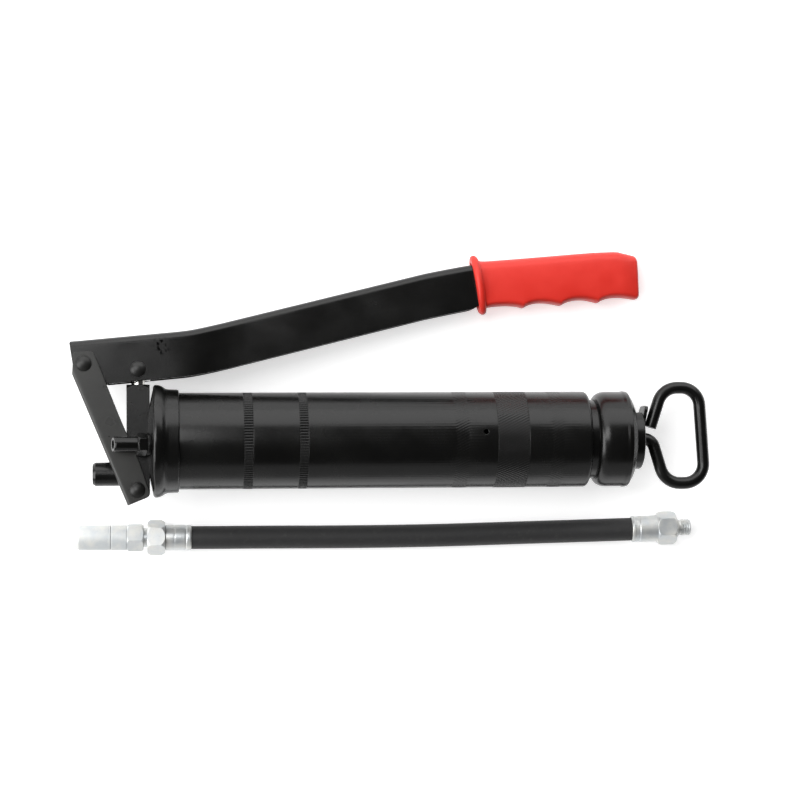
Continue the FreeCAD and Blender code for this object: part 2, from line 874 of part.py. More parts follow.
def coupler_body():
    body = hexagon_x(-38.2, -28.4, coupler_flats, 0.9, hexagon_roll)
    barrel = turned([
        (coupler_split_x, 0),
        (coupler_split_x, coupler_r - 0.3),
        (coupler_split_x + 0.3, coupler_r),
        (-38.6, coupler_r),
        (-38.2, coupler_r - 0.4),
        (-38.2, 0),
    ])
    neck = rod_x(-58.0, coupler_split_x, 5.6)
    body = body.fuse(barrel).fuse(neck).removeSplitter()
    body = body.cut(rod_x(-35.2, 0, 4.6 + press_gap)).cut(rod_x(-60, -30, 1.6))
    return at_front(body.cut(rod_x(-60, -46.0, 3.9)))


def coupler_sleeve():
    nose = coupler_nose_x
    mouth_end = nose + coupler_mouth_length
    back = coupler_split_x - 0.1
    return at_front(turned([
        (nose, coupler_mouth_r),
        (nose, coupler_mouth_r + 0.5),
        ((nose + 0.9, coupler_r - 0.8), (nose + 3.2, coupler_r)),
        (back - 0.3, coupler_r),
        (back, coupler_r - 0.3),
        (back, 5.6 + running_gap),
        (-57.5, 5.6 + running_gap),
        (-57.5, 6.2),
        (mouth_end + 1.0, 6.2),
        (mouth_end, coupler_mouth_r),
    ]))


def coupler_jaws():
    """Four collet jaws that grip a grease nipple's head."""
    collar = tube_x(-64.6, -58.2, 5.0, 3.4)
    slit = 0.5
    collar = collar.cut(block(-66, -58.9, -10, 10, -slit, slit))
    return at_front(collar.cut(block(-66, -58.9, -slit, slit, -10, 10)))


def coupler_seal():
    return at_front(turned([
        (-57.9, 1.3),
        (-57.9, 2.2),
        (-56.6, 3.7),
        (-52.0, 3.7),
        (-52.0, 2.6),
        (-55.4, 1.3),
    ]))


def coupler_spring():
    return at_front(spring_x(-51.8, -46.1, 3.1, 0.4, 4))


# ---------------------------------------------------------------- placing the gun
def resting_pitch():
    return math.asin((flange_r - end_cap_bead_r) / (end_cap_bead_x - flange_x))


def resting_roll():
    """The roll at which the grip's oval flange meets the floor."""
    height = flange_r - (grip_flange_x - flange_x) * math.sin(resting_pitch())
    arm = grip_flange_y
    tall = grip_flange_half_height * math.cos(math.radians(grip_flange_lean))
    wide = grip_flange_half_width
    a = arm ** 2 - tall ** 2 + wide ** 2
    b = height * arm
    c = height ** 2 - wide ** 2
    return math.asin((b - math.sqrt(b ** 2 - a * c)) / a)


def leaned(shape):
    moved = shape.copy()
    moved.rotate(Vector(0, 0, 0), X, -math.degrees(resting_roll()))
    moved.rotate(Vector(0, 0, 0), Y, math.degrees(resting_pitch()))
    return moved


gun_nodes = {
    "pump_body": pump_body,
    "plunger_seal": plunger_seal,
    "outlet_fitting": outlet_fitting,
    "check_ball": check_ball,
    "check_spring": check_spring,
    "check_retainer": check_retainer,
    "head_cap": head_cap,
    "head_gasket": head_gasket,
    "valve_washer": valve_washer,
    "valve_body": valve_body,
    "valve_pin": valve_pin,
    "valve_spring": valve_spring,
    "plunger": plunger,
    "plunger_pin": plunger_pin,
    "link_channel": link_channel,
    "link_top_rivet": link_top_rivet,
    "link_bottom_rivet": link_bottom_rivet,
    "lever_arm": lever_arm,
    "grip": grip,
    "barrel_tube": barrel_tube,
    "end_cap": end_cap,
    "rod_guide": rod_guide,
    "lock_plate": lock_plate,
    "lock_spring": lock_spring,
    "pull_rod": pull_rod,
    "rod_nut": rod_nut,
    "rod_collar": rod_collar,
    "follower_cup": follower_cup,
    "follower_washer": follower_washer,
    "follower_plate": follower_plate,
    "follower_spring": follower_spring,
}

hose_nodes = {
    "hose_rubber": hose_rubber,
    "hose_ferrule_front": hose_ferrule_front,
    "hose_ferrule_rear": hose_ferrule_rear,
    "hose_stem_front": hose_stem_front,
    "hose_stem_rear": hose_stem_rear,
    "coupler_body": coupler_body,
    "coupler_sleeve": coupler_sleeve,
    "coupler_jaws": coupler_jaws,
    "coupler_seal": coupler_seal,
    "coupler_spring": coupler_spring,
}

shapes = {}
for name, make in gun_nodes.items():
    shape = make()
    print(name, shape.ShapeType, len(shape.Solids), shape.isValid(), round(shape.Volume, 1))
    shapes[name] = leaned(shape)

whole = FreeCAD.BoundBox()
for shape in shapes.values():
    whole.add(shape.optimalBoundingBox(False, False))
base_shift = Vector(-whole.Center.x, -whole.Center.y, -whole.ZMin)
print("gun box", whole.XLength, whole.YLength, whole.ZLength, "shift", base_shift)
for shape in shapes.values():
    shape.translate(base_shift)

for name, make in hose_nodes.items():
    shapes[name] = make()
    print(name, len(shapes[name].Solids), shapes[name].isValid(), round(shapes[name].Volume, 1))

print("hose radii", [round(r) for r in hose_radii()])
route_length = rounded_route(hose_route, hose_radii()).Length
section = math.pi * (hose_r ** 2 - hose_bore_r ** 2)
print("hose length", round(route_length, 1))
print("hose volume ratio", shapes["hose_rubber"].Volume / (section * route_length))

os.makedirs("parts", exist_ok=True)
for name, shape in shapes.items():
    shape.exportStep("parts/" + name + ".step")
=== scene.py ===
import json
import math

import bmesh
import bpy
from mathutils import Matrix, Vector


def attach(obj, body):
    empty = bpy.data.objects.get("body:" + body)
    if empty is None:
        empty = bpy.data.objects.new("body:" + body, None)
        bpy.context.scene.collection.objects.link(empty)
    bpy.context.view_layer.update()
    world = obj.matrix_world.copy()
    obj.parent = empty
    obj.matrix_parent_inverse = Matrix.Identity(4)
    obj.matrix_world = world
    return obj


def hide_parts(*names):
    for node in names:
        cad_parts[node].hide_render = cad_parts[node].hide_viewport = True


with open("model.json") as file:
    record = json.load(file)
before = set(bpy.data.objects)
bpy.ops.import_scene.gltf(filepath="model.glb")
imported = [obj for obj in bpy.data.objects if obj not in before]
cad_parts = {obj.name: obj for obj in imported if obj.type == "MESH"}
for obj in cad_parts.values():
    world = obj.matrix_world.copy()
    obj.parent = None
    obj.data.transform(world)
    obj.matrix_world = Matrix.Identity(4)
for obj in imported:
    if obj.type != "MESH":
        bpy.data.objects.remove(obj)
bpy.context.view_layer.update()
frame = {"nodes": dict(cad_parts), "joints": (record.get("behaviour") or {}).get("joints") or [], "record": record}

# The looks of a lever grease gun: black painted steel, a soft red vinyl grip and a rubber
# hose with zinc plated fittings. Gun places are millimetres in the gun's own frame, which
# the joints give: x along the barrel, y towards the lever, z out of the flat side. Row places
# are metres in the shared frame.
MM = 0.001
FULL_TURN = math.tau

nodes = frame["nodes"]
joints = {joint["name"]: joint for joint in frame["joints"]}

# ---------------------------------------------------------------- driving sizes, millimetres
BARREL_FRONT_X = -141.4
BARREL_REAR_X = 110.6
BARREL_R = 28.25
BARREL_WALL = 1.25
BARREL_NECK_R = 23.3
BARREL_NECK_END_X = 127.0
BARREL_CORNER_R = 3.2
BAND_SEAT = 0.5
BAND_GAP = 0.01
BAND_ROWS = 8
TOOTH_DEPTH = 0.4
TOOTH_COUNT = 104
TOOTH_SPREAD = 1.6
TOOTH_BANDS = [(-92.75, -87.5), (-60.7, -55.8)]
KNURL_BANDS = [(54.4, 72.9)]
FAINT_KNURLS = [(29.3, 38.0), (85.7, 93.9)]
FAINT_SHARE = 0.6
FAINT_ROW = 0.5
KNURL_RAISED = 0.06
KNURL_DEPTH = 0.3
KNURL_ROW = 0.33
KNURL_STARTS = 104
KNURL_ANGLE = math.radians(28)
KNURL_CROSSING = 0.1
VENT_X = 47.3
VENT_Y = 3.8
VENT_R = 1.5

CAP_FRONT_X = 115.0
CAP_R = 28.15
CAP_BEAD_X = 133.1
CAP_BEAD_R = 28.45
CAP_CORNER_REACH = 7.0
CAP_CORNER_R = 4.4
CAP_DOME_X = CAP_BEAD_X + 1.9
CAP_DOME_RISE = 3.7
CAP_DOME_BULGE = 0.7
CAP_DOME_R = 27.15
CAP_BOSS_X = 138.7
CAP_BOSS_R = 18.6
CAP_BORE_R = 6.0
CAP_NECK_R = BARREL_NECK_R + 0.03
CAP_RINGS = [26.4, 25.0, 22.6, 20.2]
CAP_RING_DEPTH = 0.16
CAP_RING_HALF = 0.22

HOSE_R = 6.9
HOSE_INSERTION = 12.1
HEXAGON_ROLL = math.radians(-16)
COUPLER_ROLL = math.radians(30)
# The hose's route is the one place list in metres: the same points as in the CAD.
HOSE_ROUTE = [
    (-0.1306, -0.09762, 0.01022),
    (-0.108, -0.09776, 0.01016),
    (-0.078, -0.09805, 0.0082),
    (-0.030, -0.0985, 0.0070),
    (0.025, -0.09805, 0.0070),
    (0.075, -0.09665, 0.0070),
    (0.112, -0.09555, 0.00775),
    (0.136, -0.09445, 0.00972),
    (0.1591, -0.09375, 0.00988),
]

# ---------------------------------------------------------------- the gun's own frame
gun_x = Vector(joints["barrel_unscrew"]["axis"])
gun_y = Vector(joints["plunger_stroke"]["axis"])
gun_z = Vector(joints["lever_swing"]["axis"])
gun_origin = Vector(joints["barrel_unscrew"]["pos_m"]) - gun_x * BARREL_FRONT_X * MM
turn_to_row = Matrix((gun_x, gun_y, gun_z)).transposed().to_4x4()
gun_to_row = Matrix.Translation(gun_origin) @ turn_to_row @ Matrix.Scale(MM, 4)


def in_row(x, y, z):
    """A gun place in millimetres as a row place in metres."""
    return gun_to_row @ Vector((x, y, z))


# ---------------------------------------------------------------- camera, light and floor
def add_camera():
    """A long lens above the gun, leaning a little towards the lever and the pump head."""
    target = in_row(0, 23.6, 0)
    distance = 1.42
    tilt = math.radians(-0.045)
    azimuth, elevation = math.radians(-149.92), math.radians(79.80)
    flat = math.cos(elevation)
    back = Vector((math.sin(azimuth) * flat, -math.cos(azimuth) * flat, math.sin(elevation)))
    level = Vector((1, 0, 0))
    right = (level - back * level.dot(back)).normalized()
    right = Matrix.Rotation(tilt, 3, back) @ right
    up = back.cross(right)
    data = bpy.data.cameras.new("camera")
    data.lens = 108.45
    data.sensor_width = 36
    data.clip_start = 0.05
    data.clip_end = 20
    camera = bpy.data.objects.new("camera", data)
    bpy.context.scene.collection.objects.link(camera)
    place = Matrix((right, up, back)).transposed().to_4x4()
    place.translation = target + back * distance
    camera.matrix_world = place
    bpy.context.scene.camera = camera


def add_panel(name, place, target, size, power):
    """A rectangular soft box that faces a target."""
    data = bpy.data.lights.new(name, "AREA")
    data.shape = "RECTANGLE"
    data.size, data.size_y = size
    data.energy = power
    panel = bpy.data.objects.new(name, data)
    bpy.context.scene.collection.objects.link(panel)
    panel.location = place
    panel.rotation_euler = (Vector(place) - Vector(target)).to_track_quat("Z", "Y").to_euler()


def add_lights():
    """Soft boxes: a wide one beyond the lever, two on the head's side, a weak fill before the hose."""
    middle = (0, 0, 0.03)
    add_panel("key_panel", (0.0, 1.3, 0.58), middle, (3.2, 1.15), 31)
    add_panel("overhead_panel", (-0.95, 0.83, 1.75), (-0.95, 0.83, 0), (1.35, 1.1), 31)
    add_panel("left_panel", (-1.45, -0.1, 0.8), middle, (1.3, 1.1), 27)
    add_panel("low_panel", (0.0, -1.3, 0.5), middle, (2.8, 1.0), 5)
    world = bpy.data.worlds.new("studio")
    world.use_nodes = True
    background = world.node_tree.nodes["Background"]
    background.inputs["Color"].default_value = (1.0, 1.0, 1.0, 1)
    background.inputs["Strength"].default_value = 0.05
    bpy.context.scene.world = world


def add_floor():
    """A plain pale floor under everything."""
    half = 4.0
    mesh = bpy.data.meshes.new("floor")
    corners = [(-half, -half, 0), (half, -half, 0), (half, half, 0), (-half, half, 0)]
    mesh.from_pydata(corners, [], [(0, 1, 2, 3)])
    floor = bpy.data.objects.new("floor", mesh)
    bpy.context.scene.collection.objects.link(floor)
    surface = Surface("pale_floor", roughness=0.9, specular=0.1)
    speckle = surface.noise(35.0, detail=2)
    surface.colour(surface.mix(speckle, (0.86, 0.86, 0.86), (0.88, 0.88, 0.88)))
    surface.shader.inputs["Emission Color"].default_value = (1, 1, 1, 1)
    surface.shader.inputs["Emission Strength"].default_value = 0.5
    mesh.materials.append(surface.material)


# ---------------------------------------------------------------- material nodes
class Surface:
    """A Principled material and short words for its procedural nodes."""

    def __init__(self, name, roughness=0.5, metallic=0.0, specular=0.5):
        self.material = bpy.data.materials.new(name)
        self.material.use_nodes = True
        self.tree = self.material.node_tree
        self.shader = self.tree.nodes["Principled BSDF"]
        self.shader.inputs["Roughness"].default_value = roughness
        self.shader.inputs["Metallic"].default_value = metallic
        self.shader.inputs["Specular IOR Level"].default_value = specular
        self.place = self.tree.nodes.new("ShaderNodeTexCoord").outputs["Object"]
        self.normal = None

    def link(self, source, target):
        self.tree.links.new(source, target)

    def stretched(self, scale):
        """Object places scaled unevenly, for a grain with a direction."""
        mapping = self.tree.nodes.new("ShaderNodeMapping")
        mapping.inputs["Scale"].default_value = scale
        self.link(self.place, mapping.inputs["Vector"])
        return mapping.outputs["Vector"]

    def noise(self, scale, detail=4, roughness=0.55, vector=None):
        node = self.tree.nodes.new("ShaderNodeTexNoise")
        node.inputs["Scale"].default_value = scale
        node.inputs["Detail"].default_value = detail
        node.inputs["Roughness"].default_value = roughness
        self.link(vector or self.place, node.inputs["Vector"])
        return node.outputs["Fac"]

    def ramp(self, value, low, high, out_low=0.0, out_high=1.0):
        node = self.tree.nodes.new("ShaderNodeMapRange")
        node.inputs["From Min"].default_value = low
        node.inputs["From Max"].default_value = high
        node.inputs["To Min"].default_value = out_low
        node.inputs["To Max"].default_value = out_high
        self.link(value, node.inputs["Value"])
        return node.outputs["Result"]

    def times(self, a, b):
        node = self.tree.nodes.new("ShaderNodeMath")
        node.operation = "MULTIPLY"
        self.link(a, node.inputs[0])
        if isinstance(b, (int, float)):
            node.inputs[1].default_value = b
        else:
            self.link(b, node.inputs[1])
        return node.outputs[0]

    def mix(self, factor, first, second):
        node = self.tree.nodes.new("ShaderNodeMix")
        node.data_type = "RGBA"
        self.link(factor, node.inputs["Factor"])
        for socket, value in (("A", first), ("B", second)):
            target = [s for s in node.inputs if s.name == socket and s.type == "RGBA"][0]
            if isinstance(value, tuple):
                target.default_value = (*value, 1)
            else:
                self.link(value, target)
        return [s for s in node.outputs if s.type == "RGBA"][0]

    def colour(self, source):
        self.link(source, self.shader.inputs["Base Color"])

    def rough(self, source):
        self.link(source, self.shader.inputs["Roughness"])

    def bump(self, height, strength, distance):
        node = self.tree.nodes.new("ShaderNodeBump")
        node.inputs["Strength"].default_value = strength
        node.inputs["Distance"].default_value = distance
        self.link(height, node.inputs["Height"])
        if self.normal is not None:
            self.link(self.normal, node.inputs["Normal"])
        self.normal = node.outputs["Normal"]
        self.link(self.normal, self.shader.inputs["Normal"])

    def around(self, point, near, far):
        """One within a distance of a row place, fading to zero further out."""
        away = self.tree.nodes.new("ShaderNodeVectorMath")
        away.operation = "DISTANCE"
        self.link(self.place, away.inputs[0])
        away.inputs[1].default_value = point
        return self.ramp(away.outputs["Value"], near, far, 1.0, 0.0)

    def edges(self, radius):
        """How near a point is to a sharp edge, from 0 on flats to 1 on edges."""
        bevel = self.tree.nodes.new("ShaderNodeBevel")
        bevel.samples = 6
        bevel.inputs["Radius"].default_value = radius
        geometry = self.tree.nodes.new("ShaderNodeNewGeometry")
        dot = self.tree.nodes.new("ShaderNodeVectorMath")
        dot.operation = "DOT_PRODUCT"
        self.link(bevel.outputs["Normal"], dot.inputs[0])
        self.link(geometry.outputs["Normal"], dot.inputs[1])
        if self.normal is None:
            self.normal = bevel.outputs["Normal"]
        return self.ramp(dot.outputs["Value"], 0.995, 0.85)


def black_paint(name="black_paint", roughness=0.25, base=0.0025, grain=0.7, rub=0.8, knocked=None):
    """Stoved black paint: fine orange peel, a faint cloudiness, edges rubbed thinner.

    A knocked row place has small chips down to the dark metal around it."""
    surface = Surface(name, roughness=roughness, specular=0.35)
    edge = surface.edges(0.0005)
    cloud = surface.noise(40.0, detail=3)
    peel = surface.noise(900.0, detail=2)
    fine = surface.noise(3200.0, detail=2)
    deep = (base, base, base * 0.95)
    pale = (base * 1.5, base * 1.5, base * 1.4)
    tone = surface.mix(surface.ramp(cloud, 0.3, 0.7), deep, pale)
    broken = surface.ramp(surface.noise(420.0, detail=5), 0.48, 0.62)
    rubbed = surface.times(surface.times(edge, broken), rub)
    tone = surface.mix(rubbed, tone, (0.05, 0.05, 0.047))
    if knocked:
        spots = surface.ramp(surface.noise(520.0, detail=2), 0.54, 0.58)
        chips = surface.times(surface.around(knocked, 0.0038, 0.0062), spots)
        tone = surface.mix(chips, tone, (0.003, 0.003, 0.003))
        surface.link(chips, surface.shader.inputs["Metallic"])
    surface.colour(tone)
    surface.rough(surface.ramp(cloud, 0.25, 0.75, roughness - 0.05, roughness + 0.06))
    surface.bump(peel, 0.10 * grain, 0.0002)
    surface.bump(fine, 0.08 * grain, 0.00008)
    return surface.material


def polished_steel():
    """Polished steel with fine grinding marks."""
    surface = Surface("polished_steel", roughness=0.16, metallic=1.0)
    rings = surface.noise(800.0, detail=3, vector=surface.stretched((1.0, 8.0, 1.0)))
    surface.colour(surface.mix(rings, (0.62, 0.61, 0.58), (0.74, 0.73, 0.70)))
    surface.rough(surface.ramp(rings, 0.3, 0.7, 0.12, 0.24))
    surface.bump(rings, 0.05, 0.00005)
    return surface.material


def zinc_plate(name="zinc_plate", dull=0.4, bright=0.68):
    """Bright zinc: a cool sheen that clouds over in patches, with fine turning marks."""
    surface = Surface(name, roughness=0.3, metallic=1 - dull)
    cloud = surface.noise(150.0, detail=4)
    turning = surface.noise(300.0, detail=3, vector=surface.stretched((14.0, 1.0, 1.0)))
    mottled = surface.noise(1500.0, detail=3)
    blue = (0.82 * bright, 0.86 * bright, 0.88 * bright)
    cool = surface.mix(surface.ramp(cloud, 0.35, 0.65), blue, (bright, bright, 0.96 * bright))
    fleck = (0.6 * bright, 0.63 * bright, 0.63 * bright)
    surface.colour(surface.mix(surface.ramp(mottled, 0.6, 0.75, 0.0, 0.5), cool, fleck))
    surface.rough(surface.ramp(cloud, 0.3, 0.7, 0.24 + dull / 4, 0.38 + dull / 4))
    surface.bump(turning, 0.10, 0.00006)
    surface.bump(mottled, 0.10, 0.00005)
    return surface.material


def spring_steel():
    """Dark drawn wire."""
    surface = Surface("spring_steel", roughness=0.35, metallic=1.0)
    drawn = surface.noise(1200.0, detail=3)
    surface.colour(surface.mix(drawn, (0.20, 0.19, 0.18), (0.34, 0.33, 0.31)))
    surface.rough(surface.ramp(drawn, 0.3, 0.7, 0.28, 0.45))
    surface.bump(drawn, 0.1, 0.00005)
    return surface.material


def hose_rubber():
    """Smooth rubber with the faint wrap of the cloth it was cured in."""
    surface = Surface("hose_rubber", roughness=0.55, specular=0.35)
    wrap = surface.noise(1400.0, detail=2, vector=surface.stretched((0.35, 1.0, 1.0)))
    dust = surface.ramp(surface.noise(260.0, detail=6, roughness=0.7), 0.55, 0.8)
    tone = surface.mix(wrap, (0.020, 0.020, 0.021), (0.032, 0.032, 0.032))
    surface.colour(surface.mix(surface.times(dust, 0.35), tone, (0.075, 0.073, 0.068)))
    surface.rough(surface.ramp(wrap, 0.3, 0.7, 0.48, 0.66))
    surface.bump(wrap, 0.25, 0.0001)
    return surface.material


def seal_rubber():
    """Matt black rubber of the seals, the gasket and the follower cup."""
    surface = Surface("seal_rubber", roughness=0.6, specular=0.3)
    grain = surface.noise(900.0, detail=3)
    surface.colour(surface.mix(grain, (0.016, 0.016, 0.016), (0.03, 0.03, 0.03)))
    surface.bump(grain, 0.2, 0.0001)
    return surface.material


def red_vinyl():
    """Dip moulded vinyl: soft satin red with handling smudges and a faint pebble."""
    surface = Surface("red_vinyl", roughness=0.42, specular=0.33)
    surface.shader.inputs["Subsurface Weight"].default_value = 0.12
    surface.shader.inputs["Subsurface Radius"].default_value = (0.004, 0.0012, 0.0008)
    surface.shader.inputs["Subsurface Scale"].default_value = 1.0
    cloud = surface.noise(55.0, detail=3)
    smudge = surface.ramp(surface.noise(28.0, detail=5, roughness=0.6), 0.56, 0.74)
    pebble = surface.noise(1500.0, detail=2)
    red = surface.mix(surface.ramp(cloud, 0.3, 0.7), (0.55, 0.020, 0.012), (0.60, 0.026, 0.016))
    surface.colour(surface.mix(surface.times(smudge, 0.4), red, (0.28, 0.010, 0.008)))
    surface.rough(surface.ramp(cloud, 0.25, 0.75, 0.38, 0.5))
    surface.bump(pebble, 0.12, 0.0001)
    surface.bump(surface.noise(160.0, detail=2), 0.12, 0.0004)
    return surface.material


# ---------------------------------------------------------------- mesh helpers
def new_piece(name, vertices, faces, material, place=gun_to_row, sharp=35):
    """A mesh piece; its vertices are given in the gun's frame unless a place is named."""
    mesh = bpy.data.meshes.new(name)
    mesh.from_pydata([place @ Vector(v) for v in vertices], [], faces)
    tidy = bmesh.new()
    tidy.from_mesh(mesh)
    bmesh.ops.remove_doubles(tidy, verts=tidy.verts, dist=1e-7)
    bmesh.ops.recalc_face_normals(tidy, faces=tidy.faces)
    tidy.to_mesh(mesh)
    tidy.free()
    mesh.shade_smooth()
    mesh.set_sharp_from_angle(angle=math.radians(sharp))
    if material:
        mesh.materials.append(material)
    piece = bpy.data.objects.new(name, mesh)
    bpy.context.scene.collection.objects.link(piece)
    return piece


def fillet(points, steps=6):
    """Profile points (x, r, radius) with each corner rounded by an arc of its radius.

    An arc takes up less than half of each side; a corner that is nearly straight stays."""
    nearly_straight = math.radians(89)
    most_of_half = 0.49
    rounded = []
    count = len(points)
    for i, (x, r, radius) in enumerate(points):
        here = Vector((x, r))
        if not radius:
            rounded.append((x, r))
            continue
        before = Vector(points[i - 1][:2]) - here
        after = Vector(points[(i + 1) % count][:2]) - here
        half = before.angle(after) / 2
        if half > nearly_straight:
            rounded.append((x, r))
            continue
        shorter = min(before.length, after.length)
        setback = min(radius / math.tan(half), shorter * most_of_half)
        size = setback * math.tan(half)
        middle = (before.normalized() + after.normalized()).normalized()
        centre = here + middle * (size / math.sin(half))
        start = here + before.normalized() * setback - centre
        end = here + after.normalized() * setback - centre
        sweep = start.angle_signed(end)
        for k in range(steps + 1):
            turned = start.copy()
            turned.rotate(Matrix.Rotation(-sweep * k / steps, 2))
            rounded.append(tuple(centre + turned))
    return rounded


def polar(name, profile, segments, material, place=gun_to_row, relief=None):
    """A closed profile turned about the x axis; relief(x, r, angle) raises its skin."""
    vertices, faces = [], []
    for x, r in profile:
        for s in range(segments):
            angle = FULL_TURN * s / segments
            rise = relief(x, r, angle) if relief else 0.0
            vertices.append((x, (r + rise) * math.cos(angle), (r + rise) * math.sin(angle)))
    for i in range(len(profile)):
        low, high = i * segments, (i + 1) % len(profile) * segments
        for s in range(segments):
            t = (s + 1) % segments
            faces.append((low + s, low + t, high + t, high + s))
    return new_piece(name, vertices, faces, material, place)


def loft(name, rings, material, sharp):
    """A body stretched over closed rings of equal length, with flat ends."""
    count = len(rings[0])
    vertices = [point for ring in rings for point in ring]
    faces = []
    for i in range(len(rings) - 1):
        for s in range(count):
            t = (s + 1) % count
            low, high = i * count, (i + 1) * count
            faces.append((low + s, low + t, high + t, high + s))
    faces.append(tuple(range(count)))
    faces.append(tuple(range(len(vertices) - count, len(vertices))))
    return new_piece(name, vertices, faces, material, sharp=sharp)


def fit(piece, body, slot, *replaced):
    """The piece moves with a body and stands for the CAD nodes given; the slot is not used."""
    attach(piece, body)
    if replaced:
        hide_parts(*replaced)


def prism(name, points, z0, z1):
    """A closed bar along the gun's z axis, for cutting other pieces."""
    count = len(points)
    vertices = [(x, y, z0) for x, y in points] + [(x, y, z1) for x, y in points]
    faces = [tuple(range(count)), tuple(range(count, 2 * count))]
    for i in range(count):
        j = (i + 1) % count
        faces.append((i, j, count + j, count + i))
    return new_piece(name, vertices, faces, None)


def cut_away(piece, cutter, sharp=35):
    """The piece without the cutter's volume; the cutter is used up."""
    modifier = piece.modifiers.new("cut", "BOOLEAN")
    modifier.operation = "DIFFERENCE"
    modifier.solver = "EXACT"
    modifier.object = cutter
    graph = bpy.context.evaluated_depsgraph_get()
    mesh = bpy.data.meshes.new_from_object(piece.evaluated_get(graph))
    piece.modifiers.clear()
    old = piece.data
    piece.data = mesh
    mesh.name = piece.name
    mesh.shade_smooth()
    mesh.set_sharp_from_angle(angle=math.radians(sharp))
    bpy.data.meshes.remove(old)
    spent = cutter.data
    bpy.data.objects.remove(cutter)
    bpy.data.meshes.remove(spent)


def between(stations, x):
    """Station values at x, by straight lines between the stations."""
    for low, high in zip(stations, stations[1:]):
        if x <= high[0]:
            share = (x - low[0]) / (high[0] - low[0])
            return [a + (b - a) * share for a, b in zip(low[1:], high[1:])]
    return list(stations[-1][1:])


def spread(start, end, count):
    """Evenly spaced values from start to end, both included."""
    return [start + (end - start) * i / (count - 1) for i in range(count)]


def saw(value):
    """A triangle wave of period 1, from 0 to 1."""
    return 1 - abs(2 * (value % 1) - 1)


# ---------------------------------------------------------------- barrel
def knurl(x, r, angle):
    """Two crossing sets of fine helical grooves, the second one faint."""
    turn = angle / FULL_TURN
    lead = math.tan(KNURL_ANGLE) / (FULL_TURN * BARREL_R)
    first = saw(KNURL_STARTS * (turn + x * lead))
    second = saw(KNURL_STARTS * (turn - x * lead))
    return KNURL_RAISED - KNURL_DEPTH * (first ** 2 + KNURL_CROSSING * second ** 2)


def faint_knurl(x, r, angle):
    """The shallower knurl that is cut in the tube itself."""
    inside = any(start < x < end for start, end in FAINT_KNURLS)
    return FAINT_SHARE * (knurl(x, r, angle) - KNURL_RAISED) if inside else 0.0


def teeth(x, r, angle):
    """Straight grooves along the barrel."""
    wave = saw(angle / FULL_TURN * TOOTH_COUNT)
    return -TOOTH_DEPTH * max(0.0, wave * TOOTH_SPREAD - (TOOTH_SPREAD - 1))


def outer_only(relief):
    """The relief, kept off everything inside the barrel's outer face."""
    def shaped(x, r, angle):
        return relief(x, r, angle) if r > BARREL_R - 0.01 else 0.0
    return shaped


def add_band(name, start, end, rows, segments, relief, material):
    """A finely cut ring that lies in the tube's shallow seat."""
    start, end = start + BAND_GAP, end - BAND_GAP
    inner = BARREL_R - BAND_SEAT + BAND_GAP
    outer = [(x, BARREL_R) for x in spread(start, end, rows)]
    ring = [(start, inner), *outer, (end, inner)]
    band = polar(name, ring, segments, material, relief=outer_only(relief))
    fit(band, "barrel", "black_paint")


def add_barrel(material):
    """The barrel tube with its vent, its faint knurls and its seated bands."""
    inner = BARREL_R - BARREL_WALL
    seat = BARREL_R - BAND_SEAT
    profile = [(BARREL_FRONT_X, inner, 0), (BARREL_FRONT_X, BARREL_R, 0.3)]
    for start, end in sorted([*TOOTH_BANDS, *KNURL_BANDS, *FAINT_KNURLS]):
        if (start, end) in FAINT_KNURLS:
            rows = round((end - start) / FAINT_ROW)
            profile += [(x, BARREL_R, 0) for x in spread(start, end, rows)]
        else:
            profile += [(start, BARREL_R, 0), (start, seat, 0), (end, seat, 0), (end, BARREL_R, 0)]
    profile += [
        (BARREL_REAR_X, BARREL_R, BARREL_CORNER_R),
        (BARREL_REAR_X, BARREL_NECK_R, 0.2),
        (BARREL_NECK_END_X, BARREL_NECK_R, 0),
        (BARREL_NECK_END_X, BARREL_NECK_R - BARREL_WALL, 0),
        (BARREL_REAR_X - BARREL_WALL, BARREL_NECK_R - BARREL_WALL, 0),
        (BARREL_REAR_X - BARREL_WALL, inner, BARREL_CORNER_R - BARREL_WALL),
    ]
    relief = outer_only(faint_knurl)
    tube = polar("barrel_shell", fillet(profile), KNURL_STARTS * 6, material, relief=relief)
    hole = [
        (VENT_X + VENT_R * math.cos(a), VENT_Y + VENT_R * math.sin(a))
        for a in spread(0, FULL_TURN, 33)[:-1]
    ]
    cut_away(tube, prism("vent", hole, BARREL_R * 0.7, BARREL_R * 1.2))
    fit(tube, "barrel", "black_paint", "barrel_tube")
    for index, (start, end) in enumerate(TOOTH_BANDS):
        name = f"tooth_band_{index + 1}"
        add_band(name, start, end, BAND_ROWS, TOOTH_COUNT * 8, teeth, material)
    for index, (start, end) in enumerate(KNURL_BANDS):
        rows = round((end - start) / KNURL_ROW)
        name = f"knurled_band_{index + 1}"
        add_band(name, start, end, rows, KNURL_STARTS * 8, knurl, material)


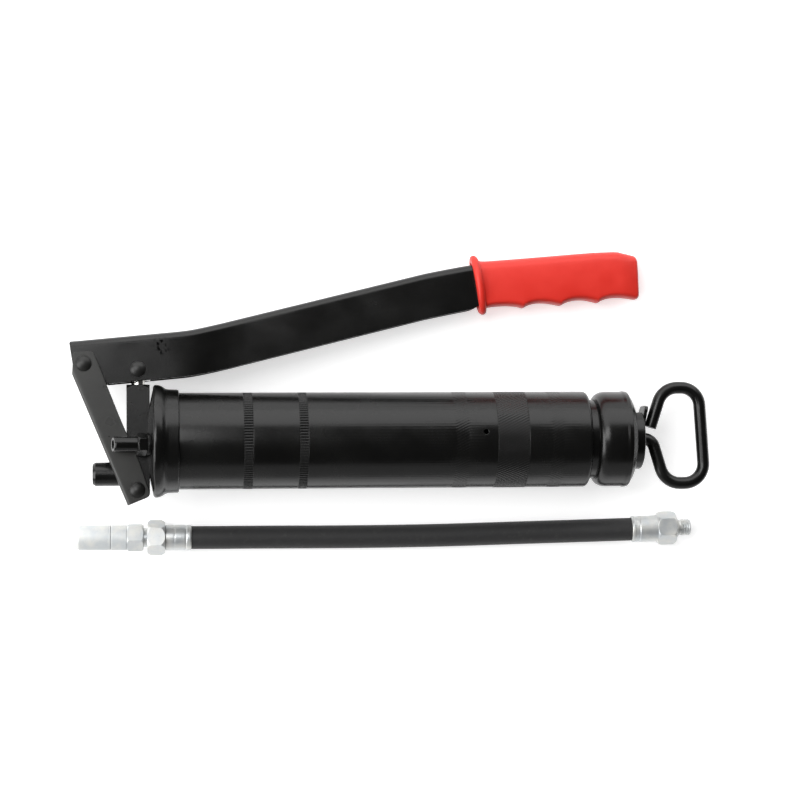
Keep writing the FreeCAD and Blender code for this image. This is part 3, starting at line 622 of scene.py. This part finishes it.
def add_end_cap(material):
    """The pressed rear cap: a rolled bead, and a dome with the rings its tool left."""
    profile = [(CAP_FRONT_X, CAP_NECK_R, 0)]
    for a in spread(0, math.pi / 2, 13):
        x = CAP_FRONT_X + CAP_CORNER_REACH - CAP_CORNER_REACH * math.cos(a)
        profile.append((x, CAP_R - CAP_CORNER_R + CAP_CORNER_R * math.sin(a), 0))
    profile += [
        (CAP_BEAD_X - 2.4, CAP_R, 0.8),
        (CAP_BEAD_X - 0.9, CAP_BEAD_R, 0.5),
        (CAP_BEAD_X + 1.2, CAP_BEAD_R - 0.2, 0.8),
        (CAP_DOME_X, CAP_R - 0.7, 0.3),
    ]
    for share in spread(0.0, 1.0, 31)[1:]:
        x = CAP_DOME_X + CAP_DOME_RISE * (share + CAP_DOME_BULGE * share * (1 - share))
        radius = CAP_DOME_R + (CAP_BOSS_R - CAP_DOME_R) * share
        on_ring = any(abs(radius - ring) < CAP_RING_HALF for ring in CAP_RINGS)
        profile.append((x - (CAP_RING_DEPTH if on_ring else 0.0), radius, 0))
    profile += [
        (CAP_BOSS_X, CAP_BOSS_R - 0.2, 0.3),
        (CAP_BOSS_X, CAP_BORE_R, 0),
        (CAP_BOSS_X - 1.8, CAP_BORE_R, 0),
        (CAP_BOSS_X - 1.8, CAP_BOSS_R - 0.7, 0.5),
        (CAP_BOSS_X - 3.3, 23.0, 1.5),
        (CAP_BEAD_X, CAP_R - 2.4, 1.0),
        (CAP_FRONT_X + 1.5, CAP_R - 2.9, 1.0),
        (CAP_FRONT_X + 1.5, CAP_NECK_R, 0),
    ]
    cap = polar("rear_cap_shell", fillet(profile, 5), 240, material)
    fit(cap, "barrel", "black_paint", "end_cap")


# ---------------------------------------------------------------- lever and grip
# Each station is x, the channel's top, its bottom and half its width.
LEVER_STATIONS = [
    (-192.9, 57.9, 31.0, 10.0),
    (-130.0, 63.7, 36.9, 10.0),
    (-124.0, 64.4, 37.5, 9.75),
    (-118.0, 65.6, 38.5, 9.2),
    (-112.0, 67.0, 39.7, 8.4),
    (-106.0, 68.4, 41.0, 7.6),
    (-100.0, 69.9, 42.4, 7.0),
    (-92.0, 71.9, 44.4, 6.6),
    (16.0, 98.4, 71.3, 6.5),
    (30.0, 101.1, 74.2, 6.5),
    (43.0, 103.5, 76.7, 6.5),
    (47.0, 103.6, 78.6, 6.4),
    (53.0, 103.7, 86.0, 5.8),
    (134.0, 106.5, 90.0, 5.6),
]
# A place where the lever's paint is chipped, as x, y and z.
LEVER_KNOCK = (-140.0, 55.0, 10.0)
LEVER_WALL = 2.5
LEVER_CORNER_R = 4.6
LEVER_FOOT_R = 0.2
LEVER_BEND_REACH = 4.0
# What is cut away in front of and under the lever's nose, as x and y.
LEVER_NOSE = [
    (-200.0, 72.0), (-191.3, 72.0), (-191.3, 58.6), (-192.4, 58.1), (-192.9, 56.8),
    (-191.1, 45.3), (-190.9, 43.4), (-190.4, 41.8), (-189.6, 40.5), (-188.5, 39.4),
    (-187.2, 38.6), (-185.8, 38.2), (-179.5, 36.3), (-170.5, 33.1), (-170.5, 20.0), (-200.0, 20.0),
]


def smooth_between(stations, x):
    """Station values averaged over a short reach, so that the sheet bends softly."""
    first, last = stations[0][0], stations[-1][0]
    places = [x + LEVER_BEND_REACH * share for share in (-1, -0.5, 0, 0.5, 1)]
    samples = [between(stations, min(max(place, first), last)) for place in places]
    weights = (1, 2, 3, 2, 1)
    return [sum(w * s[i] for w, s in zip(weights, samples)) / sum(weights) for i in range(3)]


def channel_ring(x, top, bottom, half):
    """The lever's inverted U section: outer skin, foot, inner skin, foot."""
    steps = 8

    def skin(half, top, corner):
        points = [(half, bottom + LEVER_FOOT_R)]
        for k in range(steps + 1):
            a = math.pi / 2 * k / steps
            across, up = corner * math.cos(a), corner * math.sin(a)
            points.append((half - corner + across, top - corner + up))
        return points + [(-z, y) for z, y in points[::-1]]

    outer = skin(half, top, LEVER_CORNER_R)
    inside = half - LEVER_WALL
    inner = skin(inside, top - LEVER_WALL, LEVER_CORNER_R - LEVER_WALL)
    right_foot = [(inside + LEVER_FOOT_R, bottom), (half - LEVER_FOOT_R, bottom)]
    left_foot = [(-half + LEVER_FOOT_R, bottom), (-inside - LEVER_FOOT_R, bottom)]
    ring = outer + left_foot + inner[::-1] + right_foot
    return [(x, y, z) for z, y in ring]


def add_lever(material):
    """The bent channel, close rows where it bends, with its nose cut to shape."""
    xs = spread(LEVER_STATIONS[0][0], -136.0, 12) + spread(-134.0, -86.0, 40)
    xs += spread(-80.0, 40.0, 30) + spread(42.0, 54.0, 9) + spread(58.0, 134.0, 8)
    rings = [channel_ring(x, *smooth_between(LEVER_STATIONS, x)) for x in xs]
    lever = loft("lever_channel", rings, material, sharp=40)
    cut_away(lever, prism("nose", LEVER_NOSE, -20, 20), 40)
    fit(lever, "lever", "black_paint", "lever_arm")


# The grip's outline is x with its top, its cusps or its half width; a groove is a depth and
# a skew, which moves the deepest place towards the front or the rear.
GRIP_TOP = [
    (46.0, 105.1), (48.5, 105.4), (76.7, 107.7), (102.4, 109.9),
    (116.1, 111.0), (128.2, 111.5), (131.0, 111.4), (145.0, 108.1),
]
GRIP_CUSPS = [(50.0, 77.9), (73.7, 77.6), (96.2, 79.2), (118.6, 80.8), (142.2, 82.6)]
GRIP_GROOVES = [(1.35, 1.2), (2.45, 0.8), (2.6, 0.9), (2.5, 0.8)]
GRIP_HALF = [(46.0, 8.1), (80.0, 8.3), (110.0, 8.2), (131.0, 8.0), (145.0, 8.0)]
GRIP_START_X = 49.0
GRIP_TAPER_X = 131.0
GRIP_END_X = 140.0
GRIP_TAPER = 1.4
GRIP_END_LEAN = 0.035
GRIP_END_REACH = 2.7
GRIP_SQUARENESS = 0.68
GRIP_SIDE_STEEPNESS = 2.2
GUARD_CENTRE = (46.9, 91.5)
GUARD_RIM = 2.25
GUARD_HALF = 11.5
GUARD_REACH = 17.6
GUARD_LEAN = math.tan(math.radians(9.0))
FLARE = 0.55
FLARE_LENGTH = 0.75
FLARE_TOP = 107.3
FLARE_BOTTOM = 75.9
FLARE_HALF = 9.6
FLARE_FADE = 8.0


def grip_bottom(x):
    """The finger side: skewed hollows that meet in cusps."""
    x = min(max(x, GRIP_CUSPS[0][0]), GRIP_CUSPS[-1][0])
    for (start, low), (end, high), (depth, skew) in zip(GRIP_CUSPS, GRIP_CUSPS[1:], GRIP_GROOVES):
        if x <= end:
            share = (x - start) / (end - start)
            deepest = skew / 2
            fullest = deepest ** skew * (1 - deepest) ** (2 - skew)
            hollow = share ** skew * (1 - share) ** (2 - skew) / fullest
            return low + (high - low) * share + depth * hollow
    return GRIP_CUSPS[-1][1]


def grip_ring(x, top, bottom, half, oval, lean):
    """A closed section: round above and squarer below, or an oval for the flange."""
    count = 72
    middle = (top + bottom) / 2
    reach = (top - bottom) / 2
    points = []
    for s in range(count):
        angle = FULL_TURN * s / count
        c, k = math.cos(angle), math.sin(angle)
        square = GRIP_SQUARENESS + (1 - GRIP_SQUARENESS) * oval if k < 0 else 1.0
        corner = half * square
        bent_c = math.copysign(abs(c) ** square, c)
        bent_k = math.copysign(abs(k) ** square, k)
        straight = (reach - corner) * max(-1, min(1, k * GRIP_SIDE_STEEPNESS))
        round_y = straight + corner * bent_k
        y = middle + round_y * (1 - oval) + reach * k * oval
        points.append((x - (y - middle) * lean, y, half * bent_c))
    return points


def guard_rings():
    """The oval guard: a flat front face that rolls over into a round rim."""
    centre_x, centre_y = GUARD_CENTRE
    rows = [(46.4, 6.65, 13.0), (44.95, 6.75, 13.1), (centre_x - GUARD_RIM, 7.3, 13.6)]
    for angle in spread(-80, 75, 15):
        turn = math.radians(angle)
        out = GUARD_RIM * math.cos(turn) - GUARD_RIM
        rows.append((centre_x + GUARD_RIM * math.sin(turn), GUARD_HALF + out, GUARD_REACH + out))
    return [
        grip_ring(x, centre_y + reach, centre_y - reach, half, 1.0, GUARD_LEAN)
        for x, half, reach in rows
    ]


def sleeve_section(x):
    """The sleeve's top, bottom and half width, its flare at the guard and its end taper."""
    top, half = between(GRIP_TOP, x)[0], between(GRIP_HALF, x)[0]
    bottom = sum(grip_bottom(x + d) for d in (-0.5, 0.0, 0.5)) / 3
    flare = math.exp(-((x - GRIP_START_X) / FLARE_LENGTH)) * FLARE
    top += (FLARE_TOP - top) * flare
    bottom += (FLARE_BOTTOM - bottom) * flare
    half += (FLARE_HALF - half) * flare
    end = max(0.0, (x - GRIP_TAPER_X) / (GRIP_END_X - GRIP_TAPER_X))
    return top, bottom, half - GRIP_TAPER * end ** 2, flare, end


def add_grip(material):
    """The vinyl grip: a leaning oval guard, a hand-filling sleeve and a blunt rounded end."""
    rings = guard_rings()
    for x in [49.05, 49.25, 49.6, 50.1, 50.8, 51.8, 53.0] + spread(54.0, GRIP_END_X, 174):
        top, bottom, half, flare, end = sleeve_section(x)
        fade = max(0.0, 1 - (x - GRIP_START_X) / FLARE_FADE)
        lean = GUARD_LEAN * fade ** 2 + GRIP_END_LEAN * end
        rings.append(grip_ring(x, top, bottom, half, flare, lean))
    for angle in spread(12, 88, 10):
        turn = math.radians(angle)
        drop = 1 - math.cos(turn)
        x = GRIP_END_X + GRIP_END_REACH * math.sin(turn)
        section = (top - 2.9 * drop, bottom + 2.0 * drop, half - 2.9 * drop)
        rings.append(grip_ring(x, *section, 0.0, GRIP_END_LEAN))
    grip = loft("vinyl_grip", rings, material, sharp=60)
    fit(grip, "lever", "red_vinyl", "grip")


# ---------------------------------------------------------------- hose
def add_hose(material):
    """The rubber hose on its own smooth line, from ferrule to ferrule."""
    curve = bpy.data.curves.new("rubber_hose", "CURVE")
    curve.dimensions = "3D"
    curve.bevel_depth = HOSE_R * MM
    curve.bevel_resolution = 12
    curve.resolution_u = 24
    curve.use_fill_caps = True
    spline = curve.splines.new("NURBS")
    spline.points.add(len(HOSE_ROUTE) - 1)
    for point, place in zip(spline.points, HOSE_ROUTE):
        point.co = (*place, 1)
    spline.order_u = 3
    spline.use_endpoint_u = True
    curve.materials.append(material)
    hose = bpy.data.objects.new("rubber_hose", curve)
    bpy.context.scene.collection.objects.link(hose)
    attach(hose, "hose")
    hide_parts("hose_rubber")


# ---------------------------------------------------------------- hose fittings
# Places along a fitting are millimetres from its ferrule's hose-side face: the front fittings
# reach towards minus x, the rear ones towards plus x.
HOSE_SEAT_R = 6.92
FERRULE_FLOOR = 14.0
FERRULE_BORE_R = 4.05
STEM_SHOULDER = 15.62
STEM_R = 4.0
STEM_BORE_R = 1.8
BARB_R = 2.65
FRONT_FLATS = 18.2
REAR_FLATS = 17.6
COUPLER_FLATS = 14.7
COUPLER_R = 7.5
NOSE_SEAT_R = 5.6


def laid_on(point, along):
    """A place whose x axis lies along a direction, for pieces drawn in millimetres."""
    turn = Vector((1, 0, 0)).rotation_difference(along).to_matrix().to_4x4()
    return Matrix.Translation(point) @ turn @ Matrix.Scale(MM, 4)


def hexagonal(flats, start, end, roll=HEXAGON_ROLL):
    """Relief that keeps a turned body inside a rolled hexagon between two places."""
    def shaped(x, r, angle):
        if not start <= x <= end:
            return 0.0
        side = FULL_TURN / 6
        across = flats / 2 / math.cos(((angle - roll) % side) - side / 2)
        return min(0.0, across - r)
    return shaped


def threaded(start, end, pitch, depth):
    """Relief of a screw thread between two places."""
    def shaped(x, r, angle):
        if not start <= x <= end or r < 3:
            return 0.0
        return -depth * saw(x / pitch - angle / FULL_TURN)
    return shaped


def both(first, second):
    """Two reliefs added together."""
    def shaped(x, r, angle):
        return first(x, r, angle) + second(x, r, angle)
    return shaped


def shoulder(start, end, rows, foot, foot_r, reach, corner, power=1.0):
    """Rows of a hexagon's turned shoulder, which climbs from its foot towards its corners."""
    return [
        (x, foot_r + (corner - foot_r) * (abs(x - foot) / reach) ** power)
        for x in spread(start, end, rows)
    ]


def corner_rows(start, end, rows, corner):
    """Rows along a hexagon, a hair outside its corners so that only the flats cut."""
    return [(x, corner + 0.01) for x in spread(start, end, rows)]


def barbs(way):
    """A stem's barbed tail in the hose; way is 1 at the rear end and -1 at the front end."""
    points = [(0.6, STEM_BORE_R), (0.6, BARB_R)]
    for x in (1.6, 5.0, 8.4):
        points += [(x, BARB_R), (x + 2.4, BARB_R + 0.5)]
    points += [(10.8, 2.85), (13.2, 2.85), (13.2, STEM_R), (STEM_SHOULDER, STEM_R)]
    return [(way * x, r) for x, r in points]


def add_front_ferrule(material, place):
    """The crimped sleeve at the coupler's end, with two rolled grooves."""
    profile = [
        (0, HOSE_SEAT_R, 0), (0, 7.3, 0.25), (-0.8, 7.7, 0.4), (-2.6, 7.7, 0.3),
        (-3.0, 7.35, 0.2), (-3.5, 7.35, 0.2), (-3.9, 7.65, 0.3), (-9.6, 7.65, 0.3),
        (-10.0, 7.5, 0.2), (-10.4, 7.65, 0.2), (-15.2, 7.6, 0.4), (-15.55, 7.0, 0.2),
        (-15.55, FERRULE_BORE_R, 0), (-FERRULE_FLOOR, FERRULE_BORE_R, 0),
        (-FERRULE_FLOOR, HOSE_SEAT_R, 0),
    ]
    ferrule = polar("ferrule_front", fillet(profile, 4), 120, material, place)
    fit(ferrule, "hose", "zinc_plate", "hose_ferrule_front")


def add_rear_ferrule(material, place):
    """The crimped sleeve at the stud's end, with one wide groove and a soft waist."""
    profile = [
        (0, HOSE_SEAT_R, 0), (0, 7.9, 0.4), (1.6, 8.05, 0.5), (2.0, 7.75, 0.2),
        (4.6, 7.75, 0.2), (5.0, 8.05, 0.4), (10.6, 7.95, 2.0), (14.6, 8.05, 0.3),
        (15.6, 8.05, 0), (15.6, FERRULE_BORE_R, 0), (FERRULE_FLOOR, FERRULE_BORE_R, 0),
        (FERRULE_FLOOR, HOSE_SEAT_R, 0),
    ]
    ferrule = polar("ferrule_rear", fillet(profile, 4), 120, material, place)
    fit(ferrule, "hose", "zinc_plate", "hose_ferrule_rear")


def add_front_stem(material, place):
    """The stem whose hexagon stands between the front ferrule and the coupler."""
    corner = FRONT_FLATS / math.sqrt(3)
    foot_r, foot, rear_foot = 9.25, -STEM_SHOULDER, -26.1
    rows = barbs(-1) + [(foot, foot_r)]
    rows += shoulder(-15.8, -17.5, 12, foot, foot_r, 1.98, corner)
    rows += corner_rows(-17.6, -24.4, 12, corner)
    rows += shoulder(-24.5, -26.0, 12, rear_foot, foot_r, 1.7, corner)
    rows += [(rear_foot, 9.2), (rear_foot, 5.9), (-26.5, 5.6), (-28.35, 5.6), (-28.4, 4.6)]
    rows += [(-35.0, 4.6), (-35.0, STEM_BORE_R)]
    relief = hexagonal(FRONT_FLATS, -26.15, -15.61)
    stem = polar("stem_front", rows, 180, material, place, relief)
    fit(stem, "hose", "zinc_plate", "hose_stem_front")


def add_rear_stem(material, place):
    """The stem with the hose's own threaded stud, which screws into the gun's outlet."""
    corner = REAR_FLATS / math.sqrt(3)
    rows = barbs(1) + [(STEM_SHOULDER, 8.9)]
    rows += shoulder(15.75, 17.6, 12, 15.6, 8.95, 2.0, corner, 0.8)
    rows += corner_rows(17.7, 25.1, 12, corner)
    rows += shoulder(25.2, 27.1, 14, 27.2, 8.3, 2.1, corner, 0.5)
    rows += [(27.2, 8.0), (27.25, 7.4), (29.2, 4.5), (30.0, 4.4), (30.15, 4.4)]
    rows += [(x, 4.98) for x in spread(30.5, 35.2, 64)]
    rows += [(36.0, 4.3), (36.0, STEM_BORE_R)]
    relief = both(hexagonal(REAR_FLATS, 15.6, 27.22), threaded(30.45, 35.25, 1.0, 0.42))
    stem = polar("stem_rear", rows, 180, material, place, relief)
    fit(stem, "hose", "zinc_plate", "hose_stem_rear")


def add_coupler(material, place):
    """The grease coupler: its hexagon body and the screwed nose sleeve."""
    corner = COUPLER_FLATS / math.sqrt(3)
    rows = [(-28.42, 4.65), (-28.42, 7.3)]
    rows += shoulder(-28.5, -29.5, 10, -28.42, 7.4, 1.1, corner)
    rows += corner_rows(-29.6, -37.0, 10, corner)
    rows += shoulder(-37.1, -38.1, 10, -38.2, 7.45, 1.1, corner)
    rows += [(-38.2, 7.2), (-38.35, 7.2), (-38.6, COUPLER_R), (-47.3, COUPLER_R)]
    rows += [(-47.65, 7.15), (-47.65, NOSE_SEAT_R), (-58.0, NOSE_SEAT_R), (-58.0, 3.9)]
    rows += [(-46.0, 3.9), (-46.0, 1.6), (-35.2, 1.6), (-35.2, 4.65)]
    relief = hexagonal(COUPLER_FLATS, -38.15, -28.4, COUPLER_ROLL)
    shell = polar("coupler_shell", rows, 180, material, place, relief)
    fit(shell, "hose", "zinc_plate", "coupler_body")

    profile = [
        (-69.0, 5.0, 0), (-69.0, 6.1, 0.4), (-66.6, COUPLER_R, 1.6), (-49.2, COUPLER_R, 0.2),
        (-48.9, 7.35, 0.1), (-48.6, COUPLER_R, 0.1), (-47.85, COUPLER_R, 0.3),
        (-47.85, 5.66, 0), (-57.5, 5.66, 0), (-57.5, 6.2, 0), (-64.0, 6.2, 0), (-65.0, 5.0, 0),
    ]
    sleeve = polar("coupler_nose_sleeve", fillet(profile, 5), 120, material, place)
    fit(sleeve, "coupler_nose", "zinc_plate", "coupler_sleeve")


def add_fittings(material, pale):
    """Crimped ferrules and turned stems in bright zinc, and a paler, duller coupler."""
    front_run = (Vector(HOSE_ROUTE[1]) - Vector(HOSE_ROUTE[0])).normalized()
    rear_run = (Vector(HOSE_ROUTE[-1]) - Vector(HOSE_ROUTE[-2])).normalized()
    front = laid_on(Vector(HOSE_ROUTE[0]) + front_run * HOSE_INSERTION * MM, front_run)
    rear = laid_on(Vector(HOSE_ROUTE[-1]) - rear_run * HOSE_INSERTION * MM, rear_run)
    add_front_ferrule(material, front)
    add_rear_ferrule(material, rear)
    add_front_stem(material, front)
    add_rear_stem(material, rear)
    add_coupler(pale, front)


# ---------------------------------------------------------------- CAD nodes and their paint
# The link gets a paler copy of the black paint. This is painted light that stands in for its lit look and for the
# shade gap that would set it off from the lever.
PAINTED_LIGHT_NODES = ["link_channel"]


def paint_cad_nodes(paints):
    """Every CAD node gets the finish of its slot, apart from the listed ones, which get a paler copy of the black
    paint: painted light for their lit look.
    """
    for row in frame["record"]["subparts"]:
        node = nodes[row["node"]]
        node.data.materials.clear()
        paint = "painted_lit_link_paint" if row["node"] in PAINTED_LIGHT_NODES else row["material_slot"]
        node.data.materials.append(paints[paint])


add_camera()
add_lights()
add_floor()

paints = {
    "black_paint": black_paint(),
    "black_rivet": black_paint("black_rivet", roughness=0.42, base=0.006),
    # A paler copy of the black paint for the link: painted light for its lit look.
    "painted_lit_link_paint": black_paint("painted_lit_link_paint", roughness=0.3, base=0.014),
    "dark_steel": black_paint("dark_steel", roughness=0.26, base=0.0025),
    "valve_steel": black_paint("valve_steel", roughness=0.22, base=0.0025, grain=0.5),
    "polished_steel": polished_steel(),
    "spring_steel": spring_steel(),
    "red_vinyl": red_vinyl(),
    "seal_rubber": seal_rubber(),
    "hose_rubber": hose_rubber(),
    "zinc_plate": zinc_plate(),
}
paint_cad_nodes(paints)
add_hose(paints["hose_rubber"])
add_barrel(black_paint("barrel_paint", rub=0.06))
add_end_cap(paints["black_paint"])
add_lever(black_paint("lever_paint", roughness=0.22, knocked=in_row(*LEVER_KNOCK)))
add_grip(paints["red_vinyl"])
add_fittings(paints["zinc_plate"], zinc_plate("pale_zinc", dull=0.85, bright=0.68))

bpy.context.scene.view_settings.view_transform = "Standard"
